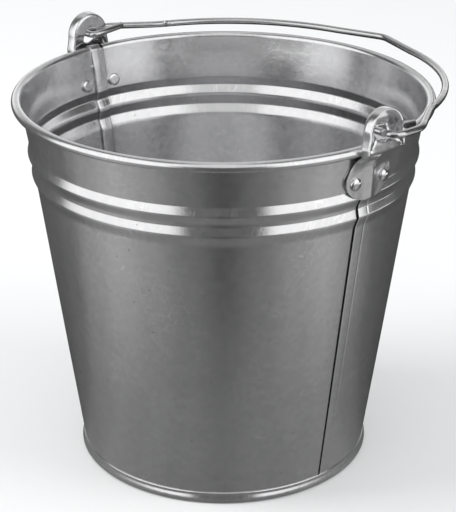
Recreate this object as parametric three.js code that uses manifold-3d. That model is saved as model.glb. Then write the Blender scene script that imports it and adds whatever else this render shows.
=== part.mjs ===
// Galvanised florist bucket, in millimetres, +Z up. The origin is the middle of the foot ring where it meets
// the floor. The two ears stand on +X and -X, and the bail lies folded down towards +Y.
import * as THREE from "three";
import { mergeVertices } from "three/addons/utils/BufferGeometryUtils.js";
import ManifoldModule from "manifold-3d";

const manifold = await ManifoldModule();
manifold.setup();

// ---- Driving dimensions ----

const HEIGHT = 275;
const RIM_RADIUS = 150;
const FOOT_RADIUS = 107.5;
const SHEET = 0.6;
const GAP = 0.3;
const FACETS = 48;

// Conical wall: the radius of its mid-surface at the floor, and its widening per millimetre of height
const WALL_FOOT_RADIUS = 104.7;
const WALL_SLOPE = 0.1394;
const WALL_BOTTOM = 1.6;
const LOWER_BEAD = { bottom: 211, top: 225.8, height: 1.7 };
const UPPER_BEAD = { bottom: 227.4, top: 240.6, height: 2 };
const BEAD_STEPS = 4;

// Rolled rim with its stiffening wire
const ROLL_RADIUS = 3.5;
const ROLL_END = -125;
const RIM_WIRE_RADIUS = 2.5;

// Four-layer lock seam under each ear, in degrees of azimuth from the ear's middle
const SEAM_PITCH = 0.85;
const SEAM_BOTTOM = 10.5;
const SEAM_TOP = 262;
const SEAM_EDGE = -2;
const SEAM_SLIT = 0.12;
const SEAM_FOLD = 0.25;
const SEAM_BASE_END = 1.9;
const SEAM_HOOK_END = -1.1;
const SEAM_INNER_HOOK_END = 1.3;

// Recessed base, rolled round the bottom edge of the wall
const BASE_THICKNESS = 0.6;
const BASE_FLOOR = 9.6;
const BASE_FLANGE_TOP = 8.6;

// Ears: a sheet plate on the wall that runs into a pressed cup over the rim, with the bail's hole in it
const EAR_SHEET = 1.2;
const EAR_BOTTOM = 233.4;
const EAR_FOLD = 270.9;
const EAR_TOP = 299.3;
const EAR_ARCH_RADIUS = 15.4;
const EAR_NECK_HALF_WIDTH = 17.1;
const EAR_CUP_BACK = 147.9;
const EAR_CUP_FRONT = 155.6;
const EAR_CUP_BEND = 284;
const EAR_HOLE_RADIUS = 6.4;
const EAR_LIFT = 0.1;
const EAR_RIB = { top: 258, length: 22, halfWidth: 6, height: 1.6 };

// Rivets, two through each ear
const RIVET_HEIGHT = 247.3;
const RIVET_SPREAD = 26.4;
const RIVET_SHANK_RADIUS = 2.2;
const RIVET_HEAD = { radius: 4.7, height: 2.4 };
const RIVET_TAIL = { radius: 4.8, height: 1.7 };

// Bail wire, laid out in its own plane: x across the bucket, y away from the hinge line, z square to the plane
const PIVOT_HEIGHT = 282.5;
const BAIL_WIRE_RADIUS = 2.5;
const BAIL_REST_ANGLE = -1;
const BAIL_PEAK = 168.6;
const BAIL_ARC = { radius: 147.4, centre: 13, from: 38, to: 137.5 };
const BAIL_ARM_HALF_WIDTH = 162.4;
const BAIL_HOOK_RADIUS = 9;
const TAIL_HALF_WIDTH = 142.7;
const TAIL_BEND_RADIUS = 4.6;
const TAIL_RIGHT = { side: 1, reach: 42, tilt: -7 };
const TAIL_LEFT = { side: -1, reach: 38, tilt: 4 };

const ZINC = { color: 0x9d9fa0, roughness: 0.36, metalness: 0.9 };
const BRIGHT_ZINC = { color: 0xb4b6b7, roughness: 0.26, metalness: 0.95 };

const rollCentre = new THREE.Vector2(RIM_RADIUS - ROLL_RADIUS, HEIGHT - ROLL_RADIUS);
const rollSheetRadius = ROLL_RADIUS - SHEET / 2;
const rad = THREE.MathUtils.degToRad;
const v2 = (x, y) => new THREE.Vector2(x, y);
const v3 = (x, y, z) => new THREE.Vector3(x, y, z);

// ---- Solids: closed meshes in and out of the boolean library ----

function toSolid(geometry) {
  const bare = geometry.clone();
  bare.deleteAttribute("normal");
  bare.deleteAttribute("uv");
  const merged = mergeVertices(bare, 1e-4);
  const triangles = [];
  for (let i = 0; i < merged.index.count; i += 3) {
    const corners = [0, 1, 2].map((k) => merged.index.getX(i + k));
    if (new Set(corners).size === 3) triangles.push(...corners);
  }
  return new manifold.Manifold(
    new manifold.Mesh({
      numProp: 3,
      vertProperties: new Float32Array(merged.attributes.position.array),
      triVerts: new Uint32Array(triangles),
    }),
  );
}

function toGeometry(solid) {
  const mesh = solid.getMesh();
  const geometry = new THREE.BufferGeometry();
  geometry.setAttribute("position", new THREE.BufferAttribute(new Float32Array(mesh.vertProperties), 3));
  geometry.setIndex(new THREE.BufferAttribute(new Uint32Array(mesh.triVerts), 1));
  geometry.computeVertexNormals();
  return geometry;
}

const union = (solids) => solids.reduce((sum, solid) => sum.add(solid));
const halfTurn = (solid) => solid.rotate([0, 0, 180]);

// A closed outline of (radius, height) points, turned about +Z
function revolve(outline, facets = FACETS) {
  const loop = THREE.ShapeUtils.isClockWise(outline) ? [...outline].reverse() : outline;
  const geometry = new THREE.LatheGeometry([...loop, loop[0]], facets);
  geometry.rotateX(Math.PI / 2);
  return toSolid(geometry);
}

// A closed outline with its first axis along u and its second along v, extruded from one plane to another
function prism(outline, u, v, from, to) {
  const geometry = new THREE.ExtrudeGeometry(new THREE.Shape(outline), { depth: to - from, bevelEnabled: false });
  geometry.translate(0, 0, from);
  geometry.applyMatrix4(new THREE.Matrix4().makeBasis(u, v, u.clone().cross(v)));
  return toSolid(geometry);
}

const prismAlongX = (outline) => prism(outline, v3(0, 1, 0), v3(0, 0, 1), 120, 170);
const prismAlongY = (outline) => prism(outline, v3(1, 0, 0), v3(0, 0, 1), -30, 30);

// The closed outline of a sheet that follows a line of points
function thicken(line, thickness) {
  const offset = (distance) =>
    line.map((point, i) => {
      const before = line[Math.max(i - 1, 0)];
      const after = line[Math.min(i + 1, line.length - 1)];
      const direction = after.clone().sub(before).normalize();
      return v2(point.x + distance * direction.y, point.y - distance * direction.x);
    });
  return [...offset(thickness / 2), ...offset(-thickness / 2).reverse()];
}

function arc(centre, radius, from, to, steps) {
  return Array.from({ length: steps + 1 }, (_, i) => {
    const angle = rad(from + ((to - from) * i) / steps);
    return v2(centre.x + radius * Math.cos(angle), centre.y + radius * Math.sin(angle));
  });
}

// A full circle, with its last point left out because the outline closes on itself
const circle = (centre, radius, sides) => arc(centre, radius, 0, 360, sides).slice(0, sides);

// A wedge about +Z between two azimuths less than half a turn apart
function wedge(from, to) {
  const rimOfWedge = arc(v2(0, 0), RIM_RADIUS * 2, from, to, Math.ceil((to - from) / 30));
  return prism([v2(0, 0), ...rimOfWedge], v3(1, 0, 0), v3(0, 1, 0), -1, HEIGHT + 1);
}

// ---- Wall ----

function wallRadius(height) {
  const bead = [LOWER_BEAD, UPPER_BEAD].find(({ bottom, top }) => height > bottom && height < top);
  const swell = bead ? bead.height * Math.sin((Math.PI * (height - bead.bottom)) / (bead.top - bead.bottom)) : 0;
  const flareAtRoll = rollCentre.x - rollSheetRadius - (WALL_FOOT_RADIUS + WALL_SLOPE * rollCentre.y);
  const upTheBand = Math.max(0, (height - UPPER_BEAD.top) / (rollCentre.y - UPPER_BEAD.top));
  return WALL_FOOT_RADIUS + WALL_SLOPE * height + swell + flareAtRoll * upTheBand;
}

function wallHeights(bottom, top) {
  const acrossBead = (bead) =>
    Array.from({ length: BEAD_STEPS + 1 }, (_, i) => bead.bottom + ((bead.top - bead.bottom) * i) / BEAD_STEPS);
  return [bottom, ...acrossBead(LOWER_BEAD), ...acrossBead(UPPER_BEAD), top];
}

function wallOutline() {
  const side = wallHeights(WALL_BOTTOM, SEAM_TOP).map((height) => v2(wallRadius(height), height));
  return thicken([...side, ...arc(rollCentre, rollSheetRadius, 180, ROLL_END, 9)], SHEET);
}

// Part of the lock seam. Its layers lie inside the wall's own sheet, each one pitch further in than the last.
function seamSector(firstLayer, lastLayer, from, to) {
  const heights = wallHeights(SEAM_BOTTOM, SEAM_TOP);
  const outer = heights.map((height) => v2(wallRadius(height) + SHEET / 2 - firstLayer * SEAM_PITCH, height));
  const inner = heights.map((height) => v2(wallRadius(height) - SHEET / 2 - lastLayer * SEAM_PITCH, height));
  return revolve([...outer, ...inner.reverse()]).intersect(wedge(from, to));
}

// The half of the wall on the -Y side. Turned half round it is the other half, and their ends hook together.
function wallHalf() {
  const start = SEAM_EDGE + SEAM_SLIT;
  const body = revolve(wallOutline()).intersect(union([wedge(start - 180, -90), wedge(-91, SEAM_EDGE)]));
  const hookedUnder = [
    seamSector(0, 3, SEAM_EDGE - SEAM_FOLD, SEAM_EDGE),
    seamSector(3, 3, SEAM_EDGE - SEAM_FOLD, SEAM_BASE_END),
    seamSector(1, 3, SEAM_BASE_END - SEAM_FOLD, SEAM_BASE_END),
    seamSector(1, 1, SEAM_HOOK_END, SEAM_BASE_END),
  ];
  const hookedOver = [
    seamSector(0, 2, start, start + SEAM_FOLD),
    seamSector(2, 2, start, SEAM_INNER_HOOK_END),
  ];
  return union([body, ...hookedUnder, ...hookedOver.map(halfTurn)])
    .subtract(rivetHole(-1))
    .subtract(halfTurn(rivetHole(1)));
}

function basePan() {
  const beside = (height, side) => v2(wallRadius(height) + side * (SHEET / 2 + GAP + BASE_THICKNESS / 2), height);
  const floor = BASE_FLOOR - BASE_THICKNESS / 2;
  const floorCorner = beside(floor, -1).x;
  const foot = BASE_THICKNESS / 2;
  const ring = FOOT_RADIUS - BASE_THICKNESS / 2;
  const outline = thicken(
    [
      v2(0, floor),
      v2(floorCorner - 3, floor),
      v2(floorCorner - 1.8, floor),
      v2(floorCorner - 0.5, floor - 0.6),
      beside(floor - 2, -1),
      beside(WALL_BOTTOM, -1),
      v2(WALL_FOOT_RADIUS - 0.3, foot),
      v2(WALL_FOOT_RADIUS, foot),
      v2(WALL_FOOT_RADIUS + 0.9, foot),
      v2(WALL_FOOT_RADIUS + 1.2, foot),
      v2(ring - 0.4, 1.3),
      v2(ring, 2.6),
      v2(ring - 0.3, 4),
      beside(5.6, 1),
      beside(BASE_FLANGE_TOP, 1),
    ],
    BASE_THICKNESS,
  );
  return revolve(outline);
}

const rimWire = () => revolve(circle(rollCentre, RIM_WIRE_RADIUS, 8));

// ---- Ears and their rivets, modelled on +X ----

// Front view of the plate and neck, across and up
function plateFront() {
  const half = [
    v2(6, 0.6),
    v2(11.5, 2.6),
    v2(16.5, 6),
    v2(20, 10.2),
    v2(21.2, 14.6),
    v2(20.2, 19.4),
    v2(18, 25),
    v2(EAR_NECK_HALF_WIDTH, 31),
    v2(EAR_NECK_HALF_WIDTH, EAR_FOLD + EAR_SHEET - EAR_BOTTOM),
  ];
  const mirrored = half.map(({ x, y }) => v2(-x, y)).reverse();
  return [v2(0, 0), ...half, ...mirrored].map(({ x, y }) => v2(x, EAR_BOTTOM + y));
}

// Side view of the plate: over the upper bead, up the wall, and out round the rolled rim
function plateLine() {
  const stand = SHEET / 2 + GAP + EAR_SHEET / 2 + EAR_LIFT;
  const onWall = (height, lift = 0) => v2(wallRadius(height) + stand + lift, height);
  const overBead = wallRadius((UPPER_BEAD.bottom + UPPER_BEAD.top) / 2) + stand;
  return [
    v2(overBead, EAR_BOTTOM - 1),
    v2(overBead + 0.5, EAR_BOTTOM + 3.8),
    onWall(UPPER_BEAD.top + 1, 0.2),
    onWall(UPPER_BEAD.top + 3),
    onWall(257),
    v2(144.8, 262.8),
    v2(147.9, 266.6),
    v2(151.2, 269.3),
    v2(EAR_CUP_FRONT + 0.2, EAR_FOLD + EAR_SHEET / 2 + 0.2),
  ];
}

function archFront(inset) {
  const halfWidth = EAR_NECK_HALF_WIDTH - inset;
  const arch = arc(v2(0, EAR_TOP - EAR_ARCH_RADIUS), EAR_ARCH_RADIUS - inset, 0, 180, 14);
  return [...arch, v2(-halfWidth, EAR_FOLD + inset), v2(halfWidth, EAR_FOLD + inset)];
}

// Side view of what lies in front of the cup's back: upright at the top, then sloping out to the lip
function cupSide(inset) {
  const back = EAR_CUP_BACK + inset;
  return [
    v2(EAR_CUP_FRONT + inset, EAR_FOLD + inset),
    v2(EAR_CUP_FRONT + inset, EAR_TOP + 2),
    v2(back, EAR_TOP + 2),
    v2(back, EAR_CUP_BEND + inset * 0.25),
    v2(EAR_CUP_FRONT - EAR_SHEET + inset * 0.63, EAR_FOLD + inset),
  ];
}

function earRib() {
  const slope = Math.atan(WALL_SLOPE);
  const outline = arc(v2(0, 0), 1, 0, 180, 8).map(({ x, y }) => v2(x * EAR_RIB.halfWidth, y * EAR_RIB.height));
  const outward = v3(Math.cos(slope), 0, -Math.sin(slope));
  return prism(outline, v3(0, 1, 0), outward, 0, EAR_RIB.length).translate([
    wallRadius(EAR_RIB.top) + SHEET / 2 + GAP + EAR_LIFT + EAR_SHEET - 0.2,
    0,
    EAR_RIB.top,
  ]);
}

// Where a rivet crosses the middle of the wall, turned so that its own z points straight out of the wall
function rivetPose(side) {
  const radius = wallRadius(RIVET_HEIGHT) * Math.cos(Math.PI / FACETS);
  const azimuth = side * Math.asin(RIVET_SPREAD / 2 / radius);
  const outward = v3(Math.cos(azimuth), Math.sin(azimuth), -WALL_SLOPE).normalize();
  const turn = new THREE.Quaternion().setFromUnitVectors(v3(0, 0, 1), outward);
  const place = v3(radius * Math.cos(azimuth), radius * Math.sin(azimuth), RIVET_HEIGHT);
  return new THREE.Matrix4().compose(place, turn, v3(1, 1, 1));
}

function rivetHole(side) {
  const radius = RIVET_SHANK_RADIUS + GAP;
  const drill = new THREE.CylinderGeometry(radius, radius, 20, 12);
  drill.rotateX(Math.PI / 2);
  drill.applyMatrix4(rivetPose(side));
  return toSolid(drill);
}

function rivet(side) {
  const tailFace = -SHEET / 2 - GAP;
  const headFace = SHEET / 2 + GAP + EAR_LIFT + EAR_SHEET + GAP;
  const outline = [
    v2(0, tailFace - RIVET_TAIL.height),
    v2(RIVET_TAIL.radius * 0.85, tailFace - RIVET_TAIL.height),
    v2(RIVET_TAIL.radius, tailFace - RIVET_TAIL.height * 0.5),
    v2(RIVET_TAIL.radius, tailFace),
    v2(RIVET_SHANK_RADIUS, tailFace),
    v2(RIVET_SHANK_RADIUS, headFace),
    v2(RIVET_HEAD.radius, headFace),
    v2(RIVET_HEAD.radius, headFace + RIVET_HEAD.height * 0.2),
    v2(RIVET_HEAD.radius * 0.8, headFace + RIVET_HEAD.height * 0.66),
    v2(RIVET_HEAD.radius * 0.45, headFace + RIVET_HEAD.height * 0.93),
    v2(0, headFace + RIVET_HEAD.height),
  ];
  const geometry = toGeometry(revolve(outline, 12));
  geometry.applyMatrix4(rivetPose(side));
  return toSolid(geometry);
}

function ear() {
  const plate = revolve(thicken(plateLine(), EAR_SHEET)).intersect(prismAlongX(plateFront()));
  const pressed = (inset) => prismAlongX(archFront(inset)).intersect(prismAlongY(cupSide(inset)));
  const cup = pressed(0).subtract(pressed(EAR_SHEET));
  const hole = prismAlongX(circle(v2(0, PIVOT_HEIGHT), EAR_HOLE_RADIUS, 20));
  return union([plate, cup, earRib()]).subtract(hole).subtract(rivetHole(1)).subtract(rivetHole(-1));
}

// ---- Bail ----

// A line through corners, each one rounded to its radius, with more points where it bends
function roundedLine(corners) {
  const points = [corners[0].at];
  for (let i = 1; i < corners.length - 1; i += 1) {
    const { at, radius } = corners[i];
    const back = corners[i - 1].at.clone().sub(at).normalize();
    const ahead = corners[i + 1].at.clone().sub(at).normalize();
    const turn = Math.PI - back.angleTo(ahead);
    const start = at.clone().addScaledVector(back, radius * Math.tan(turn / 2));
    const centre = at.clone().addScaledVector(back.clone().add(ahead).normalize(), radius / Math.cos(turn / 2));
    const axis = ahead.clone().cross(back).normalize();
    const steps = Math.max(2, Math.ceil(turn / rad(15)));
    for (let k = 0; k <= steps; k += 1) {
      const spoke = start.clone().sub(centre).applyAxisAngle(axis, (turn * k) / steps);
      points.push(spoke.add(centre));
    }
  }
  points.push(corners[corners.length - 1].at);
  return points;
}

// One half of the bail: down its long arc, out past the ear, in through the hole and back along the inside
function bailHalf({ side, reach, tilt }) {
  const { radius, centre, from, to } = BAIL_ARC;
  const at = (x, y, z = 0) => v3(side * x, y, z);
  const startAngle = Math.acos(from / radius);
  const endAngle = Math.acos(to / radius);
  const longArc = Array.from({ length: 9 }, (_, i) => {
    const angle = startAngle + ((endAngle - startAngle) * i) / 8;
    return at(radius * Math.cos(angle), centre + radius * Math.sin(angle));
  });
  const arm = roundedLine([
    { at: longArc[longArc.length - 1] },
    { at: at(139.5, 60.8), radius: 60 },
    { at: at(BAIL_ARM_HALF_WIDTH, 26.1), radius: 25 },
    { at: at(BAIL_ARM_HALF_WIDTH, 0), radius: BAIL_HOOK_RADIUS },
    { at: at(TAIL_HALF_WIDTH, 0), radius: TAIL_BEND_RADIUS },
    { at: at(TAIL_HALF_WIDTH + 0.6, reach * Math.cos(rad(tilt)), reach * Math.sin(rad(tilt))) },
  ]);
  return [...longArc, ...arm.slice(1)];
}

// A wire path whose stations are its own points, so they stay close together in the bends
class WirePath extends THREE.CatmullRomCurve3 {
  getUtoTmapping(fraction) {
    return fraction;
  }
}

function bail() {
  const right = bailHalf(TAIL_RIGHT);
  const left = bailHalf(TAIL_LEFT);
  const peak = roundedLine([{ at: left[0] }, { at: v3(0, BAIL_PEAK, 0), radius: 14 }, { at: right[0] }]);
  const points = [...left.slice(1).reverse(), ...peak, ...right.slice(1)];
  const section = new THREE.Shape(circle(v2(0, 0), BAIL_WIRE_RADIUS, 8));
  const geometry = new THREE.ExtrudeGeometry(section, {
    steps: points.length - 1,
    extrudePath: new WirePath(points, false, "centripetal"),
  });
  geometry.rotateX(rad(BAIL_REST_ANGLE));
  geometry.translate(0, 0, PIVOT_HEIGHT);
  return toSolid(geometry);
}

// ---- Assembly ----

const bucket = new THREE.Group();

function addPart(name, solid, finish) {
  const mesh = new THREE.Mesh(toGeometry(solid), new THREE.MeshStandardMaterial(finish));
  mesh.name = name;
  bucket.add(mesh);
}

const wallFront = wallHalf();
addPart("wall_front", wallFront, ZINC);
addPart("wall_rear", halfTurn(wallFront), ZINC);
addPart("base_pan", basePan(), ZINC);
addPart("rim_wire", rimWire(), ZINC);
const earRight = ear();
addPart("ear_right", earRight, BRIGHT_ZINC);
addPart("ear_left", halfTurn(earRight), BRIGHT_ZINC);
addPart("rivet_right_front", rivet(-1), BRIGHT_ZINC);
addPart("rivet_right_rear", rivet(1), BRIGHT_ZINC);
addPart("rivet_left_front", halfTurn(rivet(1)), BRIGHT_ZINC);
addPart("rivet_left_rear", halfTurn(rivet(-1)), BRIGHT_ZINC);
addPart("bail_handle", bail(), BRIGHT_ZINC);

export default bucket;
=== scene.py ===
import math

import bmesh
import bpy
from mathutils import Matrix, Vector, noise


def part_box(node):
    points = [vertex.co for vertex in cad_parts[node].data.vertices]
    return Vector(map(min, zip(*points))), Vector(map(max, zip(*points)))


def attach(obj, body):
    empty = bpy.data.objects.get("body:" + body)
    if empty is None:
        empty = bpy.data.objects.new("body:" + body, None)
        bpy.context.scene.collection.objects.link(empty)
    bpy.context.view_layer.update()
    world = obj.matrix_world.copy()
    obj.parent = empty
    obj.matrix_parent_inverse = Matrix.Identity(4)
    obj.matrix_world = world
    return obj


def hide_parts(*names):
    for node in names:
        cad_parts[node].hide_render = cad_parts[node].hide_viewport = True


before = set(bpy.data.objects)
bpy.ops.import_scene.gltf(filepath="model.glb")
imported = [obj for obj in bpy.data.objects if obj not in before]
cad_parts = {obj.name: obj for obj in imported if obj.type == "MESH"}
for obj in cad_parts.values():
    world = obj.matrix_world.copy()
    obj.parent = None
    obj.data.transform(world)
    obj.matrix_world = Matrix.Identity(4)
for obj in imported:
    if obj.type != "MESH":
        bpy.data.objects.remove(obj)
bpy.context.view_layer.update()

# ---- Wall ---------------------------------------------------------------------------------------
# The cone is two half shells of 0.6 mm hot-dip galvanised steel. Two beads are rolled into it below the
# rim, and the rim is curled outwards over a wire. Under each ear the halves hook into each other in a flat
# lock seam: outside it is one dark slit, and inside a raised strip with one crisp edge.
MM = 0.001
SHEET = 0.6 * MM
WALL_SLOPE = 0.1394
WALL_FOOT_RADIUS = 104.7 * MM
WALL_BOTTOM = 1.6 * MM
SEAM_TOP = 262 * MM
CREST = 0.9 * MM
TOP_FILLET = 0.9 * MM
BEADS = (
    {"bottom": 210.2 * MM, "crest": 219.3 * MM, "top": 226.2 * MM, "slope": 0.34, "foot": 3.4 * MM},
    {"bottom": 227.2 * MM, "crest": 234.3 * MM, "top": 241.2 * MM, "slope": 0.364, "foot": 2.2 * MM},
)
ROLL_RADIUS = 3.5 * MM
ROLL_END = -125
ROLL_STEPS = 28
rim_low, rim_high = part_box("rim_wire")
ROLL_CENTRE = Vector(((rim_high.x - rim_low.x) / 2 - 2.5 * MM, (rim_high.z + rim_low.z) / 2))
SHEET_ROLL = ROLL_RADIUS - SHEET / 2


def bead_knots(bead):
    """Heights where a bead's slope changes, with the slope there. The flanks are straight, the crest is crisp,
    and a fillet eases each flank into the cone."""
    bottom, crest, top, upper = bead["bottom"], bead["crest"], bead["top"], bead["slope"]
    lower = upper * (top - crest - TOP_FILLET / 2) / (crest - bottom - bead["foot"] / 2)
    return ((bottom, 0.0), (bottom + bead["foot"], lower), (crest - CREST, lower),
            (crest + CREST, -upper), (top - TOP_FILLET, -upper), (top, 0.0))


def bead_height(height, bead):
    """How far a bead stands out of the cone at a height: its slope summed up from its foot."""
    rise = 0.0
    knots = bead_knots(bead)
    for (low, at_low), (high, at_high) in zip(knots, knots[1:]):
        share = max(0.0, min(1.0, (height - low) / (high - low)))
        rise += (high - low) * share * (at_low + (at_high - at_low) * share / 2)
    return rise


def wall_radius(height):
    """The middle of the sheet: the cone, its beads, and the last band that flares to meet the roll."""
    cone = WALL_FOOT_RADIUS + WALL_SLOPE * height
    band = max(0.0, (height - BEADS[1]["top"]) / (ROLL_CENTRE.y - BEADS[1]["top"]))
    at_roll = ROLL_CENTRE.x - SHEET_ROLL - (WALL_FOOT_RADIUS + WALL_SLOPE * ROLL_CENTRE.y)
    return cone + at_roll * band + sum(bead_height(height, bead) for bead in BEADS)


def spaced(start, end, steps):
    return [start + (end - start) * i / steps for i in range(steps + 1)]


def wall_rows():
    """Heights of the rows of the wall up to the top of the seam, close together over the beads."""
    rows = spaced(WALL_BOTTOM, BEADS[0]["bottom"], 26)[:-1]
    for bead in BEADS:
        knots = [height for height, _ in bead_knots(bead)]
        for low, high in zip(knots, knots[1:]):
            rows += spaced(low, high, 5)[:-1]
        rows.append(knots[-1])
    return rows + spaced(BEADS[1]["top"], SEAM_TOP, 8)[1:]


# The sheet's course through the lock seam, seen from above: degrees from the ear's middle, and millimetres
# inwards. UNDER ends one half under the slit, and OVER starts the other half over it. The columns of the two
# hooks, the first of OVER and the last of UNDER, stop below the rolled rim.
UNDER = [(-3.1, 0), (-2.9, 0.04), (-2.8, 0.16), (-2.74, 0.42), (-2.7, 0.8), (-2.6, 1.1), (-2.3, 1.35),
         (-1.7, 1.55), (-1.2, 1.7), (-1.0, 1.74), (-0.9, 1.84), (-0.8, 1.9), (0, 1.92), (1.5, 1.92),
         (1.74, 1.84), (1.86, 1.66), (1.88, 1.4), (1.8, 1.18), (1.6, 1.1)]
OVER = [(-1.2, 1.0), (-1.5, 0.98), (-1.72, 0.86), (-1.84, 0.66), (-1.86, 0.45), (-1.78, 0.2), (-1.62, 0.06),
        (-1.4, 0), (1.2, 0), (1.5, 0.02), (1.62, 0.18), (1.74, 0.32), (1.86, 0.18), (2.0, 0.02), (2.3, 0)]
HOOK_OVER = 7
HOOK_UNDER = 3
STRIP_OVER_ROLL = 0.4
COLUMNS = 118
BELOW_BEADS = 200 * MM


def wander(azimuth, height):
    """The slight unevenness of hand-fed sheet, most of it in the band under the rim."""
    band = max(0.0, min(1.0, (height - BEADS[1]["top"]) / (6 * MM)))
    place = Vector((math.cos(azimuth) * 2.6, math.sin(azimuth) * 2.6, height * 9))
    fine = Vector((math.cos(azimuth) * 9, math.sin(azimuth) * 9, height * 30 + 5))
    return (0.22 + 0.10 * band) * MM * noise.noise(place) + (0.03 + 0.10 * band) * MM * noise.noise(fine)


def edges_along(line, closed=False):
    """The edges that join a run of vertices, and its last to its first if it is closed."""
    after = line[1:] + line[:1] if closed else line[1:]
    return [next(e for e in a.link_edges if e.other_vert(a) is b) for a, b in zip(line, after)]


def extruded(mesh, line, edges, closed=False):
    """Extrudes a run of edges, and gives the new vertices in the order of the old, with their edges."""
    made = bmesh.ops.extrude_edge_only(mesh, edges=edges)["geom"]
    fresh = {v for v in made if isinstance(v, bmesh.types.BMVert)}
    line = [next(e.other_vert(v) for e in v.link_edges if e.other_vert(v) in fresh) for v in line]
    return line, edges_along(line, closed)


def make_wall(name, turn):
    """One half shell, turned about the upright axis by a number of degrees."""
    plan = [(math.radians(-180 + a), depth * MM) for a, depth in OVER]
    plan += [(math.radians(a), 0.0) for a in spaced(-180 + OVER[-1][0], UNDER[0][0], COLUMNS)[1:-1]]
    plan += [(math.radians(a), depth * MM) for a, depth in UNDER]
    unhooked = list(range(HOOK_OVER, len(plan) - HOOK_UNDER))
    rows = [(height, None) for height in wall_rows()]
    rows += [(None, angle) for angle in spaced(180, ROLL_END, ROLL_STEPS)]
    mesh = bmesh.new()

    def place(azimuth, depth, height, angle):
        if angle is None:
            radius = wall_radius(height) - depth + wander(azimuth + math.radians(turn), height)
        else:
            out = SHEET_ROLL + depth * STRIP_OVER_ROLL
            radius = ROLL_CENTRE.x + out * math.cos(math.radians(angle))
            height = ROLL_CENTRE.y + out * math.sin(math.radians(angle))
        azimuth += math.radians(turn)
        return Vector((radius * math.cos(azimuth), radius * math.sin(azimuth), height))

    line = [mesh.verts.new(place(a, depth, *rows[0])) for a, depth in plan]
    edges = [mesh.edges.new(pair) for pair in zip(line, line[1:])]
    columns = list(range(len(plan)))
    for height, angle in rows[1:]:
        if angle is not None and len(columns) == len(plan):
            edges = edges[unhooked[0]:unhooked[-1]]
            line = [line[i] for i in unhooked]
            columns = unhooked
        line, edges = extruded(mesh, line, edges)
        for vert, i in zip(line, columns):
            vert.co = place(*plan[i], height, angle)
    bmesh.ops.recalc_face_normals(mesh, faces=mesh.faces)

    def spread(face):
        centre = face.calc_center_median()
        return centre.to_2d().length if centre.z < BELOW_BEADS else 0

    outward = max(mesh.faces, key=spread)
    if outward.normal.to_2d().dot(outward.calc_center_median().to_2d()) < 0:
        bmesh.ops.reverse_faces(mesh, faces=mesh.faces)
    return finished(name, mesh, SHEET)


def finished(name, mesh, thickness=0.0, smooth=True, even=True):
    """Makes an object of a bmesh, smooth shaded, with its sheet thickness as a modifier."""
    for face in mesh.faces:
        face.smooth = smooth
    data = bpy.data.meshes.new(name)
    mesh.to_mesh(data)
    mesh.free()
    piece = bpy.data.objects.new(name, data)
    bpy.context.scene.collection.objects.link(piece)
    if thickness:
        solidify = piece.modifiers.new("sheet", "SOLIDIFY")
        solidify.thickness = thickness
        solidify.offset = 0
        solidify.use_even_offset = even
    return piece


class Shade:
    """A socket in a material, so that sums on numbers are written as plain arithmetic."""

    def __init__(self, tree, socket=None):
        self.tree, self.socket = tree, socket

    def node(self, kind, settings=None, sockets=None, output=0):
        made = self.tree.nodes.new("ShaderNode" + kind)
        for name, value in (settings or {}).items():
            if name == "stops":
                while len(made.color_ramp.elements) < len(value):
                    made.color_ramp.elements.new(1)
                for element, (place, tone) in zip(made.color_ramp.elements, value):
                    element.position = place
                    element.color = (*tone, 1) if isinstance(tone, tuple) else (tone, tone, tone, 1)
            elif name == "interpolation":
                made.color_ramp.interpolation = value
            else:
                setattr(made, name, value)
        for name, value in (sockets or {}).items():
            if isinstance(value, Shade):
                self.tree.links.new(value.socket, made.inputs[name])
            else:
                made.inputs[name].default_value = value
        return Shade(self.tree, made.outputs[output] if made.outputs else None)

    def sum(self, operation, *values):
        return self.node("Math", {"operation": operation}, dict(enumerate(values)))

    def __add__(self, other):
        return self.sum("ADD", self, other)

    __radd__ = __add__

    def __mul__(self, other):
        return self.sum("MULTIPLY", self, other)

    __rmul__ = __mul__

    def __sub__(self, other):
        return self.sum("SUBTRACT", self, other)

    def __rsub__(self, other):
        return self.sum("SUBTRACT", other, self)

    def __truediv__(self, other):
        return self.sum("DIVIDE", self, other)

    def __pow__(self, other):
        return self.sum("POWER", self, other)

    def between(self, low, high):
        """0 below low, 1 above high, and smooth between them."""
        return self.node("MapRange", {"interpolation_type": "SMOOTHSTEP"}, {0: self, 1: low, 2: high})

    def noise(self, scale, detail=2.0, roughness=0.5, stretch=(1, 1, 1)):
        """Cloudy noise on this position, from 0 to 1, finer along the axes that are stretched."""
        place = self.node("VectorMath", {"operation": "MULTIPLY"}, {0: self, 1: stretch})
        return self.node("TexNoise", None,
                         {"Vector": place, "Scale": scale, "Detail": detail, "Roughness": roughness})

    def cells(self, scale, feature="F1", output="Distance"):
        """Cells on this position: the distance to their middles or edges, or one colour for each."""
        return self.node("TexVoronoi", {"feature": feature}, {"Vector": self, "Scale": scale}, output)


def new_material(name):
    """An empty material and the place on the object that its patterns are laid out on."""
    material = bpy.data.materials.new(name)
    material.use_nodes = True
    material.node_tree.nodes.clear()
    shade = Shade(material.node_tree)
    return material, shade, shade.node("TexCoord", None, None, "Object")


def tinted(shade, light, tone):
    """A grey with a trace of blue, times light, which may run from 0 to 2."""
    twice = (2 * tone, 2 * tone, 2 * tone * 1.01, 1)
    return shade.node("Mix", {"data_type": "RGBA"}, {0: light * 0.5, 6: (0, 0, 0, 1), 7: twice}, 2)


def close_material(shade, colour, roughness, relief, depth, metallic=1.0):
    """Joins colour, roughness and relief to the metal's shader."""
    normal = shade.node("Bump", None, {"Height": relief, "Strength": 1.0, "Distance": depth})
    metal = shade.node("BsdfPrincipled", None,
                       {"Base Color": colour, "Roughness": roughness, "Metallic": metallic, "Normal": normal})
    shade.node("OutputMaterial", None, {"Surface": metal})


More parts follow.
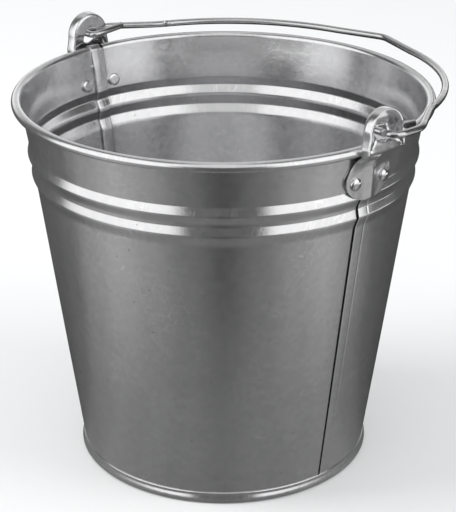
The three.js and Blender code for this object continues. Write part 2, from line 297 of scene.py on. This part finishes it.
def zinc(name, tone=0.76, rough=0.19, grain=1.5, shade_slit=True):
    """Galvanised sheet: fine frosted grain, faint crystals, thin scratches, small pits, dull patches, and
    painted shade in the seams' slits where asked.
    """
    material, shade, place = new_material(name)
    grain_fine = place.noise(1500, 3, 0.6)
    grain_coarse = place.noise(520, 2, 0.55)
    crystal = shade.node("SeparateColor", None, {0: place.cells(260, output="Color")}, 0)
    clouds = place.noise(16, 4, 0.6)
    streaks = place.noise(30, 3, 0.6, stretch=(1, 1, 0.12))
    scratches = scratch_marks(shade, place)
    pits = 1 - place.cells(95).between(0.02, 0.08)
    specks = pits * place.noise(60, 1).between(0.54, 0.6)
    shift = (clouds - 0.5) * 0.14 + (crystal - 0.5) * 0.06
    shift = shift + (grain_fine - 0.5) * 0.12 + (streaks - 0.5) * 0.10
    light = 1 + shift + scratches * 0.2 - specks * 0.5
    # Painted shade: the outer faces in the slit of each lock seam are darkened almost to black.
    if shade_slit:
        light = light * (1 - 0.93 * painted_slit_shade(shade, place))
    colour = tinted(shade, light, tone)
    roughness = rough + (clouds - 0.5) * 0.10 + (grain_coarse - 0.5) * 0.06
    roughness = roughness + (crystal - 0.5) * 0.04 - scratches * 0.04
    relief = grain_fine * 0.3 + grain_coarse * 0.9 + crystal * 0.2 - scratches * 0.5 - specks * 0.9
    close_material(shade, colour, roughness, relief, 0.012 * MM * grain, metallic=0.94)
    return material


# Where the painted shade in the slit starts and ends, in degrees from the ear's middle.
SLIT_START = (-2.88, -2.78)
SLIT_END = (-1.9, -1.84)
# Each direction of scuffs: its turn in radians, how its cells are stretched, and how little of it is kept.
SCUFFS = ((0.5, (1, 1, 0.05), 0.60), (-0.9, (1, 1, 0.06), 0.62), (1.35, (1, 1, 0.04), 0.6))


def painted_slit_shade(shade, place):
    """1 on the outer faces down in the slit of either seam, and 0 elsewhere: the mask of painted shade that
    darkens the slit.
    """
    x, y = (shade.node("SeparateXYZ", None, {0: place}, i) for i in range(2))
    around = shade.sum("ARCTAN2", y * shade.sum("SIGN", x), shade.sum("ABSOLUTE", x)) * (180 / math.pi)
    normal = shade.node("NewGeometry", None, None, 1)
    outward = shade.node("VectorMath", {"operation": "DOT_PRODUCT"}, {0: normal, 1: place}, 1)
    in_slit = around.between(*SLIT_START) * (1 - around.between(*SLIT_END))
    return in_slit * outward.between(-0.02, 0.0)


def scratch_marks(shade, place):
    """Thin straight scuffs in a few directions: the edges of long narrow cells, kept in patches."""
    marks = None
    for turn, stretch, keep in SCUFFS:
        turned = shade.node("Mapping", None, {"Vector": place, "Rotation": (turn, turn * 0.6, 0)})
        lines = shade.node("VectorMath", {"operation": "MULTIPLY"}, {0: turned, 1: stretch})
        edge = 1 - lines.cells(210, "DISTANCE_TO_EDGE").between(0.0, 0.025)
        patch = turned.noise(21, 1).between(keep, keep + 0.05)
        marks = edge * patch if marks is None else marks + edge * patch
    return marks


sheet_zinc = zinc("zinc_sheet")
for wall_name, node_name, half_turn in (("front_shell", "wall_front", 0), ("rear_shell", "wall_rear", 180)):
    shell = make_wall(wall_name, half_turn)
    shell.data.materials.append(sheet_zinc)
    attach(shell, "bucket")
    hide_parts(node_name)

# ---- Rim wire -----------------------------------------------------------------------------------
# A ring of 5 mm galvanised wire, gripped inside the rolled rim. It stiffens the mouth, and no part of it
# shows.
RIM_WIRE_RADIUS = 2.5 * MM


def make_ring(name, centre_radius, height, wire_radius, around=192, sides=16):
    mesh = bmesh.new()
    turned = Matrix.Translation((centre_radius, 0, height)) @ Matrix.Rotation(math.pi / 2, 4, "X")
    circle = bmesh.ops.create_circle(mesh, segments=sides, radius=wire_radius, matrix=turned)["verts"]
    bmesh.ops.spin(mesh, geom=mesh.verts[:] + mesh.edges[:], axis=(0, 0, 1), cent=(0, 0, 0), dvec=(0, 0, 0),
                   angle=math.tau, steps=around, use_merge=True)
    bmesh.ops.recalc_face_normals(mesh, faces=mesh.faces)
    return finished(name, mesh)


def wire_steel(name, tone=0.66, rough=0.2):
    """Zinc-plated drawn wire: a soft plated grain, faint rubbed spots, and dull patches."""
    material, shade, place = new_material(name)
    grain = place.noise(900, 3, 0.6)
    clouds = place.noise(55, 3, 0.6)
    rubbed = place.noise(140, 2).between(0.56, 0.7)
    light = 1 + (grain - 0.5) * 0.25 + (clouds - 0.5) * 0.2 + rubbed * 0.12
    roughness = rough + (clouds - 0.5) * 0.12 + (grain - 0.5) * 0.10 - rubbed * 0.06
    close_material(shade, tinted(shade, light, tone), roughness, grain + clouds * 0.6, 0.03 * MM)
    return material


plated_wire = wire_steel("plated_wire")
rim_ring = make_ring("rim_ring", ROLL_CENTRE.x, ROLL_CENTRE.y, RIM_WIRE_RADIUS)
rim_ring.data.materials.append(plated_wire)
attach(rim_ring, "bucket")
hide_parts("rim_wire")

# ---- Base pan -----------------------------------------------------------------------------------
# A disc of the same sheet, set up inside the cone. Its edge turns down along the wall, rolls under the
# wall's bottom edge as the ring that the bucket stands on, and ends in a flange pressed flat outside.
GAP = 0.3 * MM
BASE_FLOOR = 9.6 * MM
BASE_BEND = 2.0 * MM
FLANGE_TOP = 8.8 * MM
FOOT_RADIUS = 107.5 * MM
# The rolled foot as (radius, height) in millimetres: the part under the wall's edge is measured from the
# wall's foot, and the leaning outside from the ring's widest line.
UNDER_WALL = ((-0.2, 0.42), (0.4, 0.3), (1.0, 0.34))
FOOT_RING = ((-0.95, 0.75), (-0.35, 1.3), (-0.07, 2.0), (0, 2.6), (-0.04, 3.2), (-0.18, 3.8), (-0.5, 4.8),
             (-0.84, 5.8), (-1.15, 6.8), (-1.18, 7.6))
FLANGE_EDGE = -1.08 * MM


def base_line():
    def inside_wall(height):
        return Vector((wall_radius(height) - (SHEET + GAP), height))

    floor = BASE_FLOOR - SHEET / 2
    corner = inside_wall(floor).x
    line = [Vector((0.4 * MM, floor)), Vector((60 * MM, floor)), Vector((corner - BASE_BEND - 0.4 * MM, floor))]
    bend = Vector((corner - BASE_BEND - 0.2 * MM, floor - BASE_BEND))
    for angle in spaced(90, 8, 7):
        turn = math.radians(angle)
        line.append(bend + BASE_BEND * Vector((math.cos(turn), math.sin(turn))))
    line += [inside_wall(4 * MM), inside_wall(2.4 * MM), inside_wall(1.2 * MM) + Vector((0.1, -0.2)) * MM]
    line += [Vector((WALL_FOOT_RADIUS + out * MM, height * MM)) for out, height in UNDER_WALL]
    line += [Vector((FOOT_RADIUS + out * MM, height * MM)) for out, height in FOOT_RING]
    return line + [Vector((FOOT_RADIUS + FLANGE_EDGE, FLANGE_TOP - 0.3 * MM))]


def spin_line(line, around):
    """A line of (radius, height) points spun about the upright axis into a smooth skin."""
    mesh = bmesh.new()
    verts = [mesh.verts.new((point.x, 0, point.y)) for point in line]
    for pair in zip(verts, verts[1:]):
        mesh.edges.new(pair)
    bmesh.ops.spin(mesh, geom=mesh.verts[:] + mesh.edges[:], axis=(0, 0, 1), cent=(0, 0, 0), dvec=(0, 0, 0),
                   angle=math.tau, steps=around, use_merge=True)
    return mesh


base_mesh = spin_line(base_line(), 240)
middle_edges = [e for e in base_mesh.edges if e.is_boundary and e.verts[0].co.xy.length < MM]
bmesh.ops.holes_fill(base_mesh, edges=middle_edges)
bmesh.ops.recalc_face_normals(base_mesh, faces=base_mesh.faces)
base = finished("base", base_mesh, SHEET)
base.data.materials.append(zinc("zinc_base", rough=0.17, grain=1.2, shade_slit=False))
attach(base, "bucket")
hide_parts("base_pan")

# ---- Ears ---------------------------------------------------------------------------------------
# Each ear is pressed from 1.2 mm plated strip. Its plate, with a sharp middle ridge over the seam, is
# riveted to the wall. The neck leans out over the rolled rim, and ends in an arched cup that opens outwards.
# The cup's back has the bail's hole, and slopes out to the lip below it.
EAR_SHEET = 1.2 * MM
EAR_BOTTOM = 233.4 * MM
EAR_LIP = 271.3 * MM
EAR_HOLE_RADIUS = 6.4 * MM
EAR_EDGE_BEVEL = 0.28 * MM
PIVOT_HEIGHT = 282.5 * MM
# The plate's half width by its height over the ear's bottom, both in millimetres.
EAR_HALF_WIDTHS = (
    (0.0, 0.5), (0.25, 4.6), (0.8, 7.6), (2.0, 10.8), (4.0, 14.2), (6.5, 17.2), (9.0, 19.3), (12.0, 20.8),
    (14.6, 21.2), (17.2, 20.9), (20.0, 20.0), (22.5, 19.0), (25.0, 18.1), (28.0, 17.4), (31.0, 17.1),
    (38.0, 17.1))
EAR_ROWS = (
    0, 0.25, 0.5, 0.8, 1.2, 1.6, 2.2, 2.8, 3.4, 4.2, 5, 6, 7, 8, 9, 10.2, 11.4, 12.6, 14, 15.4, 16.8, 18.2,
    19.6, 21, 22.5, 24, 25.5, 27, 28.4, 29.6, 30.8, 32, 33, 34, 34.8, 35.6, 36.2, 36.8, 37.3)
EAR_COLUMNS = (-1, -0.86, -0.72, -0.58, -0.46)
RIDGE_COLUMNS = (-0.8, -0.6, -0.4, -0.2, -0.08, 0, 0.08, 0.2, 0.4, 0.6, 0.8)
RIDGE_HALF_WIDTH = 5.6 * MM
RIDGE_HEIGHT = 1.7 * MM
RIDGE_ROUNDING = 0.12
RIDGE_END = 268.5 * MM
PLATE_BEND = 257 * MM
FLAT_FROM = 260 * MM
ARCH_RADIUS = 15.4 * MM
ARCH_CENTRE = 283.9 * MM
NECK_HALF_WIDTH = 17.1 * MM
CUP_FRONT = 155.6 * MM
CUP_BACK = 148.5 * MM
CUP_BEND = 284 * MM
LIP_SET_BACK = 0.5 * MM
LIP_TAPER = 0.06
NEAR = 0.1 * MM
NECK_LINE = tuple((height * MM, depth * MM) for height, depth in (
    (262.8, 144.8), (266.6, 148.3), (269.2, 151.9), (270.6, 154.6), (271.3, 155.6)))
# The rings that the cup is drawn back in: the share of its depth, and millimetres in from the outline and up
# from the lip. The last one lies on the back, and the shares then lead from there to the hole.
CUP_RINGS = ((0.15, 0.0, 0.4), (0.4, 0.03, 0.8), (0.7, 0.08, 1.2), (0.88, 0.22, 1.6), (0.96, 0.5, 2.0),
             (1.0, 1.0, 2.4), (None, 2.2, 2.8))
BACK_SHARES = (0.4, 0.75, 1.0)


def table_value(table, at):
    for (a, value_a), (b, value_b) in zip(table, table[1:]):
        if at <= b:
            return value_a + (value_b - value_a) * (at - a) / (b - a)
    return table[-1][1]


def plate_depth(height):
    """How far out the plate's middle surface lies, from the bead's crest up to the lip of the cup."""
    stand = SHEET / 2 + GAP + EAR_SHEET / 2 + 0.1 * MM
    crest = BEADS[1]["crest"]
    low = ((EAR_BOTTOM, wall_radius(crest) + stand), (PLATE_BEND, wall_radius(PLATE_BEND) + stand))
    return table_value(low + NECK_LINE, height)


def smooth_step(value, low, high):
    t = max(0.0, min(1.0, (value - low) / (high - low)))
    return t * t * (3 - 2 * t)


def plate_row(height):
    """Points across the plate at a height, from one edge to the other."""
    half = table_value(EAR_HALF_WIDTHS, (height - EAR_BOTTOM) / MM) * MM
    inner = min(RIDGE_HALF_WIDTH, -half * EAR_COLUMNS[-1])
    ys = [half * a for a in EAR_COLUMNS] + [inner * a for a in RIDGE_COLUMNS]
    ys += [-half * a for a in reversed(EAR_COLUMNS)]
    depth = plate_depth(height)
    flat = smooth_step(height, FLAT_FROM, EAR_LIP)
    ridge = RIDGE_HEIGHT * smooth_step(height, EAR_BOTTOM - MM, EAR_BOTTOM + 2 * MM)
    ridge *= 1 - smooth_step(height, RIDGE_END, EAR_LIP)
    points = []
    for y in ys:
        x = (1 - flat) * math.sqrt(depth * depth - y * y) + flat * depth
        share = min(1.0, abs(y) / RIDGE_HALF_WIDTH)
        peak = 1 - share
        if share <= RIDGE_ROUNDING:
            peak = 1 - RIDGE_ROUNDING / 2 - share * share / (2 * RIDGE_ROUNDING)
        points.append(Vector((x + ridge * peak, y, height)))
    return points


def cup_back(height):
    """How far out the cup's back lies: upright at the top, and sloping out to the lip below its bend."""
    slope = min(1.0, max(0.0, (CUP_BEND - height) / (CUP_BEND - EAR_LIP)))
    return CUP_BACK + (CUP_FRONT - LIP_SET_BACK - CUP_BACK) * slope


def cup_point(home, back, inset, rise):
    """Where a ring of the cup passes the point that is at home on its mouth."""
    at_lip = home.z < EAR_LIP + NEAR
    if at_lip and abs(home.y) < NECK_HALF_WIDTH - NEAR:
        taper = 1 - LIP_TAPER * rise / CUP_RINGS[-1][2]
        spot = Vector((home.y * taper, home.z + rise * MM))
        return Vector((cup_back(spot.y), spot.x, spot.y))
    flat = Vector((home.y, home.z))
    spot = flat + (Vector((0, PIVOT_HEIGHT)) - flat).normalized() * inset * MM
    x = cup_back(spot.y) if back is None else CUP_FRONT - (CUP_FRONT - CUP_BACK) * back
    if at_lip and back is not None:
        spot.y = table_value(tuple((depth, height) for height, depth in NECK_LINE), x)
    return Vector((x, spot.x, spot.y))


def cup_outline():
    """The cup's mouth above the lip as (y, height): up one side, over the arch and down the other."""
    taper = ARCH_RADIUS - NECK_HALF_WIDTH
    side = [(NECK_HALF_WIDTH + taper * smooth_step(z, EAR_LIP, ARCH_CENTRE), z)
            for z in spaced(EAR_LIP, ARCH_CENTRE, 6)[1:]]
    arch = [(ARCH_RADIUS * math.cos(math.radians(a)), ARCH_CENTRE + ARCH_RADIUS * math.sin(math.radians(a)))
            for a in spaced(0, 180, 28)[1:-1]]
    return side + arch + [(-y, z) for y, z in reversed(side)]


def make_ear(name, turn):
    """An ear, turned about the upright axis by a number of degrees. Its plate is extruded upwards, and the cup
    is then drawn back from its mouth to the hole."""
    mesh = bmesh.new()
    rows = [plate_row(EAR_BOTTOM + rise * MM) for rise in EAR_ROWS] + [plate_row(EAR_LIP)]
    line = [mesh.verts.new(point) for point in rows[0]]
    edges = [mesh.edges.new(pair) for pair in zip(line, line[1:])]
    for row in rows[1:]:
        line, edges = extruded(mesh, line, edges)
        for vert, point in zip(line, row):
            vert.co = point

    last = len(line) - 1
    line += [mesh.verts.new((CUP_FRONT, y, z)) for y, z in cup_outline()]
    edges += [mesh.edges.new(pair) for pair in zip(line[last:], line[last + 1:] + line[:1])]
    mouth = [vert.co.copy() for vert in line]
    for ring in CUP_RINGS:
        line, edges = extruded(mesh, line, edges, closed=True)
        for vert, home in zip(line, mouth):
            vert.co = cup_point(home, *ring)
    pivot = Vector((0, PIVOT_HEIGHT))
    outer = [Vector((vert.co.y, vert.co.z)) for vert in line]
    for share in BACK_SHARES:
        line, edges = extruded(mesh, line, edges, closed=True)
        for vert, far in zip(line, outer):
            hole_edge = pivot + (far - pivot).normalized() * EAR_HOLE_RADIUS
            spot = far.lerp(hole_edge, share)
            vert.co = (cup_back(spot.y), spot.x, spot.y)
    bmesh.ops.remove_doubles(mesh, verts=mesh.verts, dist=0.01 * MM)
    bmesh.ops.recalc_face_normals(mesh, faces=mesh.faces)
    turned = Matrix.Rotation(math.radians(turn), 3, "Z")
    bmesh.ops.rotate(mesh, verts=mesh.verts, cent=(0, 0, 0), matrix=turned)
    piece = finished(name, mesh, EAR_SHEET, even=False)
    bevel = piece.modifiers.new("edges", "BEVEL")
    bevel.width = EAR_EDGE_BEVEL
    bevel.segments = 2
    bevel.limit_method = "ANGLE"
    bevel.angle_limit = math.radians(50)
    return piece


bright_zinc = zinc("bright_zinc", tone=0.8, rough=0.17, grain=2.0, shade_slit=False)
for ear_name, node_name, ear_turn in (("right_ear", "ear_right", 0), ("left_ear", "ear_left", 180)):
    pressed_ear = make_ear(ear_name, ear_turn)
    pressed_ear.data.materials.append(bright_zinc)
    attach(pressed_ear, "bucket")
    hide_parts(node_name)

# ---- Rivets -------------------------------------------------------------------------------------
# Four plated steel rivets, two through each ear and the wall. The domed head is outside, and inside the
# shank ends in a flat round button.
RIVET_HEIGHT = 247.3 * MM
RIVET_SPREAD = 26.4 * MM
# Half outlines as (radius, distance outwards) in millimetres, the button's from the wall's inner face and the
# dome's from the ear's outer face. Both have the shank's radius of 2.2 where they meet it.
RIVET_BUTTON = ((0.05, -1.8), (2.4, -1.8), (3.7, -1.76), (4.3, -1.6), (4.65, -1.25), (4.8, -0.8), (4.75, -0.2),
                (4.6, 0), (2.2, 0))
RIVET_DOME = ((2.2, 0), (4.5, 0), (4.68, 0.15), (4.7, 0.45), (4.55, 0.9), (4.15, 1.4), (3.5, 1.85), (2.6, 2.2),
              (1.6, 2.42), (0.7, 2.52), (0.05, 2.54))


def rivet_line():
    inner = -SHEET / 2 - 0.1 * MM
    outer = plate_depth(RIVET_HEIGHT) + EAR_SHEET / 2 - wall_radius(RIVET_HEIGHT)
    ends = ((RIVET_BUTTON, inner), (RIVET_DOME, outer))
    return [Vector((radius * MM, face + out * MM)) for outline, face in ends for radius, out in outline]


def make_rivet(name, side, turn):
    radius = wall_radius(RIVET_HEIGHT)
    azimuth = side * math.asin(RIVET_SPREAD / 2 / radius)
    mesh = spin_line(rivet_line(), 40)
    bmesh.ops.holes_fill(mesh, edges=[e for e in mesh.edges if e.is_boundary])
    bmesh.ops.recalc_face_normals(mesh, faces=mesh.faces)
    out = Vector((math.cos(azimuth), math.sin(azimuth), -WALL_SLOPE)).normalized()
    lean = Vector((0, 0, 1)).rotation_difference(out).to_matrix().to_4x4()
    home = Matrix.Translation((radius * math.cos(azimuth), radius * math.sin(azimuth), RIVET_HEIGHT))
    turned = Matrix.Rotation(math.radians(turn), 4, "Z")
    bmesh.ops.transform(mesh, matrix=turned @ home @ lean, verts=mesh.verts)
    return finished(name, mesh)


rivet_steel = wire_steel("rivet_steel", tone=0.86, rough=0.15)
for rivet_name, node_name, side, ear_turn in (
        ("front_rivet_right", "rivet_right_front", -1, 0), ("rear_rivet_right", "rivet_right_rear", 1, 0),
        ("front_rivet_left", "rivet_left_front", 1, 180), ("rear_rivet_left", "rivet_left_rear", -1, 180)):
    rivet = make_rivet(rivet_name, side, ear_turn)
    rivet.data.materials.append(rivet_steel)
    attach(rivet, "bucket")
    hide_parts(node_name)

# ---- Bail ---------------------------------------------------------------------------------------
# One piece of 5 mm plated wire. Its middle has a blunt peak for the hand, each arm bends out past its ear
# and hooks in through the hole, and a cut tail runs back along the inside.
BAIL_WIRE_RADIUS = 2.5 * MM
BAIL_REST_ANGLE = -1
# All in millimetres from the hinge's middle, along its line and out towards the peak, with a radius for each
# bend. A tail's tilt is in degrees, and inside is how far from the middle its wire runs.
BAIL_PEAK = 168.6
PEAK_BEND = 14
BAIL_ARC = {"radius": 147.4, "centre": 13, "from": 38, "to": 137.5}
SHOULDER = (139.5, 60.8)
SHOULDER_BEND = 60
KNEE = (162.4, 26.1)
KNEE_BEND = 25
HOOK_OUTER_BEND = 9
HOOK_INNER_BEND = 4.6
TAIL_DRIFT = 0.6
TAIL_RIGHT = {"side": 1, "reach": 42, "tilt": -7, "inside": 142.7, "lift": 0}
TAIL_LEFT = {"side": -1, "reach": 28, "tilt": 7, "inside": 145.2, "lift": 1}


def rounded(corners, step=5):
    """Points along straight runs whose corners are rounded to their radius. Corners are (point, radius)."""
    points = [corners[0][0]]
    for (before, _), (at, radius), (after, _) in zip(corners, corners[1:], corners[2:]):
        back, ahead = (before - at).normalized(), (after - at).normalized()
        turn = math.pi - back.angle(ahead)
        start = at + back * radius * math.tan(turn / 2)
        centre = at + (back + ahead).normalized() * radius / math.cos(turn / 2)
        axis = ahead.cross(back).normalized()
        steps = max(3, math.ceil(math.degrees(turn) / step))
        for k in range(steps + 1):
            points.append(centre + Matrix.Rotation(turn * k / steps, 3, axis) @ (start - centre))
    return points + [corners[-1][0]]


def bail_half(side, reach, tilt, inside, lift):
    """One side of the bail, lying flat: from the peak round the arc, past the ear, through it and back."""
    arc = BAIL_ARC
    first, last = math.acos(arc["from"] / arc["radius"]), math.acos(arc["to"] / arc["radius"])
    points = [Vector((side * arc["radius"] * math.cos(a), arc["centre"] + arc["radius"] * math.sin(a), 0))
              for a in spaced(first, last, 40)]
    lean = math.radians(tilt)
    tail_end = Vector((side * (inside - TAIL_DRIFT), reach * math.cos(lean), lift + reach * math.sin(lean)))
    arm = rounded([(points[-1], 0), (Vector((side * SHOULDER[0], SHOULDER[1], 0)), SHOULDER_BEND),
                   (Vector((side * KNEE[0], KNEE[1], 0)), KNEE_BEND),
                   (Vector((side * KNEE[0], 0, lift)), HOOK_OUTER_BEND),
                   (Vector((side * inside, 0, lift)), HOOK_INNER_BEND), (tail_end, 0)])
    return points + arm[1:]


def bail_path():
    right, left = bail_half(**TAIL_RIGHT), bail_half(**TAIL_LEFT)
    peak = rounded([(left[0], 0), (Vector((0, BAIL_PEAK, 0)), PEAK_BEND), (right[0], 0)])
    path = list(reversed(left[1:])) + peak + right[1:]
    rest = Matrix.Rotation(math.radians(BAIL_REST_ANGLE), 4, "X")
    place = Matrix.Translation((0, 0, PIVOT_HEIGHT)) @ rest
    return [place @ (point * MM) for point in path]


WIRE_CHAMFER = 0.4 * MM


def sweep(name, path, radius, sides=20):
    """A round wire along a path, with a small chamfer at each cut end."""
    mesh = bmesh.new()
    way = (path[1] - path[0]).normalized()
    frame_turn = way.to_track_quat("Z", "Y")
    stations = [(path[0], radius - WIRE_CHAMFER), (path[0] + way * WIRE_CHAMFER, radius)]
    stations += [(point, radius) for point in path[1:-1]]
    end_way = (path[-1] - path[-2]).normalized()
    stations += [(path[-1] - end_way * WIRE_CHAMFER, radius), (path[-1], radius - WIRE_CHAMFER)]
    circle = bmesh.ops.create_circle(mesh, cap_ends=True, segments=sides, radius=1)["verts"]
    spots = [vert.co.copy() for vert in circle]
    for vert, spot in zip(circle, spots):
        vert.co = stations[0][0] + frame_turn @ (spot * stations[0][1])
    loop, edges = circle, edges_along(circle, closed=True)
    for i, (point, size) in enumerate(stations[1:], 1):
        ahead = stations[min(i + 1, len(stations) - 1)][0] - stations[i - 1][0]
        frame_turn = way.rotation_difference(ahead.normalized()) @ frame_turn
        way = ahead.normalized()
        loop, edges = extruded(mesh, loop, edges, closed=True)
        for vert, spot in zip(loop, spots):
            vert.co = point + frame_turn @ (spot * size)
    mesh.faces.new(loop)
    bmesh.ops.recalc_face_normals(mesh, faces=mesh.faces)
    return finished(name, mesh)


bail_wire = sweep("bail_wire", bail_path(), BAIL_WIRE_RADIUS)
bail_wire.data.materials.append(wire_steel("bail_plating", tone=0.62))
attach(bail_wire, "bail")
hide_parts("bail_handle")

# ---- Floor, light and camera ---------------------------------------------------------------------
# A plain pale floor under a pale sky and two soft lamps. What the metal mirrors is a plain studio of its own,
# painted as glow on a dome and a disc that only reflections see: the painted light of a grey table, a tall
# softbox on each side of the camera, a low card at the right, a pale patch high behind the camera, and dim
# walls with a pale backdrop beyond the bucket.
CAMERA_AZIMUTH = -43
CAMERA_REACH = 1.19975
CAMERA_HEIGHT = 0.67024
CAMERA_PITCH = 23.58
CAMERA_LENS = 124.83
CAMERA_SHIFT = 0.0087
# The painted light of the table: its glow by the angle from the camera, in degrees, close to the bucket and far
# from it.
TABLE_NEAR = ((0, 0.09), (20, 0.115), (40, 0.135), (60, 0.15), (80, 0.12), (100, 0.065), (120, 0.045),
              (140, 0.035))
TABLE_FAR = ((0, 0.025), (20, 0.1), (40, 0.22), (60, 0.32), (80, 0.22), (100, 0.075), (120, 0.055), (140, 0.05))
# The glow is divided by the zinc's own reflectance, so that its tones are those seen in the metal.
ZINC_REFLECTANCE = 0.76
MIRROR_EYE_HEIGHT = 0.25
SOFTBOX_TONE = 0.93
LAMP_SIZE = 1.4


def stage_material(name, tone, rough=0.9):
    material = bpy.data.materials.new(name)
    material.use_nodes = True
    shader = material.node_tree.nodes["Principled BSDF"]
    shader.inputs["Base Color"].default_value = (tone, tone, tone, 1)
    shader.inputs["Roughness"].default_value = rough
    shader.inputs["Specular IOR Level"].default_value = 0.1
    return material


def only_seen_by(piece, *rays):
    """Hides a piece from every kind of ray but these."""
    for ray in ("camera", "diffuse", "glossy", "transmission", "shadow", "volume_scatter"):
        setattr(piece, "visible_" + ray, ray in rays)


floor_mesh = bmesh.new()
bmesh.ops.create_grid(floor_mesh, x_segments=1, y_segments=1, size=6)
floor = finished("floor", floor_mesh, smooth=False)
floor.data.materials.append(stage_material("pale_floor", 0.86))
only_seen_by(floor, "camera", "diffuse", "shadow")


def studio_glow(name):
    """What a mirror at the bucket would see, as light: tones by the angle round from the camera, and by the
    height, which is an angle in degrees too."""
    material, shade, place = new_material(name)
    turned = shade.node("Mapping", None, {"Vector": place, "Rotation": (0, 0, math.radians(-CAMERA_AZIMUTH))})
    x, y, z = (shade.node("SeparateXYZ", None, {0: turned}, i) for i in range(3))
    reach = (x * x + y * y) ** 0.5
    turn = shade.sum("ARCTAN2", y, x) * (180 / math.pi)
    around = shade.sum("ABSOLUTE", turn)
    near, far = ([(angle / 180, tone) for angle, tone in tones] for tones in (TABLE_NEAR, TABLE_FAR))
    near, far = (shade.node("ValToRGB", {"interpolation": "EASE", "stops": stops}, {0: around / 180})
                 for stops in (near, far))
    softbox = around.between(19, 29) * (1 - around.between(93, 105)) * (1 - turn.between(78, 90))
    height = shade.sum("ARCTAN2", z - MIRROR_EYE_HEIGHT, reach) * (180 / math.pi)
    softbox = softbox * (height.between(-16, -6) * (1 - height.between(48, 66)))
    low_card = turn.between(68, 74) * (1 - turn.between(104, 110))
    low_card = low_card * height.between(-20.5, -18.5) * (1 - height.between(-15, -12))
    backdrop = around.between(120, 155) * height.between(-3, 4) * (0.72 - 0.36 * height.between(14, 22))
    overhead = (1 - around.between(25, 40)) * height.between(12, 22) * 0.5
    walls = 0.06 + backdrop + overhead + height.between(50, 80) * 0.12
    below = 1 - height.between(-9, -4)
    # Painted light of a grey table, seen only in reflections: brighter towards the softboxes, dimmer on one
    # side.
    table = shade.node("Mix", {"data_type": "RGBA"}, {0: reach.between(0.16, 0.42), 6: near, 7: far}, 2)
    table = shade.node("SeparateColor", None, {0: table}, 0) * (1 - 0.28 * turn.between(50, 95))
    tone = table * below + walls * (1 - below)
    lit = shade.sum("MAXIMUM", softbox, low_card)
    tone = tone * (1 - lit) + lit * SOFTBOX_TONE
    glow = shade.node("Emission", None, {"Color": (1, 1, 1, 1), "Strength": tone / ZINC_REFLECTANCE})
    shade.node("OutputMaterial", None, {"Surface": glow})
    return material


glow = studio_glow("studio_glow")
table_mesh = bmesh.new()
bmesh.ops.create_circle(table_mesh, cap_ends=True, segments=64, radius=2.5,
                        matrix=Matrix.Translation((0, 0, -0.0005)))
mirror_table = finished("mirror_table", table_mesh, smooth=False)
dome_mesh = bmesh.new()
bmesh.ops.create_uvsphere(dome_mesh, u_segments=48, v_segments=24, radius=3)
mirror_dome = finished("mirror_dome", dome_mesh)
for surround in (mirror_table, mirror_dome):
    surround.data.materials.append(glow)
    only_seen_by(surround, "glossy")

world = bpy.data.worlds.new("studio")
world.use_nodes = True
sky = world.node_tree.nodes["Background"]
sky.inputs["Color"].default_value = (0.86, 0.87, 0.88, 1)
sky.inputs["Strength"].default_value = 0.95
world.cycles_visibility.glossy = False
bpy.context.scene.world = world
for name, place, power in (("key_softbox", (-1.3, -1.6, 2.0), 34), ("fill_softbox", (1.9, 0.9, 1.8), 18)):
    lamp = bpy.data.lights.new(name, "AREA")
    lamp.size = LAMP_SIZE
    lamp.energy = power
    holder = bpy.data.objects.new(name, lamp)
    holder.location = place
    holder.rotation_euler = (-Vector(place)).to_track_quat("-Z", "Y").to_euler()
    holder.visible_glossy = False
    holder.visible_camera = False
    bpy.context.scene.collection.objects.link(holder)

camera_data = bpy.data.cameras.new("camera")
camera_data.sensor_width = 36
camera_data.lens = CAMERA_LENS
camera_data.shift_x = CAMERA_SHIFT
camera = bpy.data.objects.new("camera", camera_data)
direction = math.radians(CAMERA_AZIMUTH)
camera.location = (CAMERA_REACH * math.cos(direction), CAMERA_REACH * math.sin(direction), CAMERA_HEIGHT)
camera.rotation_euler = (math.radians(90 - CAMERA_PITCH), 0, math.radians(90 + CAMERA_AZIMUTH))
bpy.context.scene.collection.objects.link(camera)
bpy.context.scene.camera = camera
bpy.context.scene.view_settings.view_transform = "Standard"
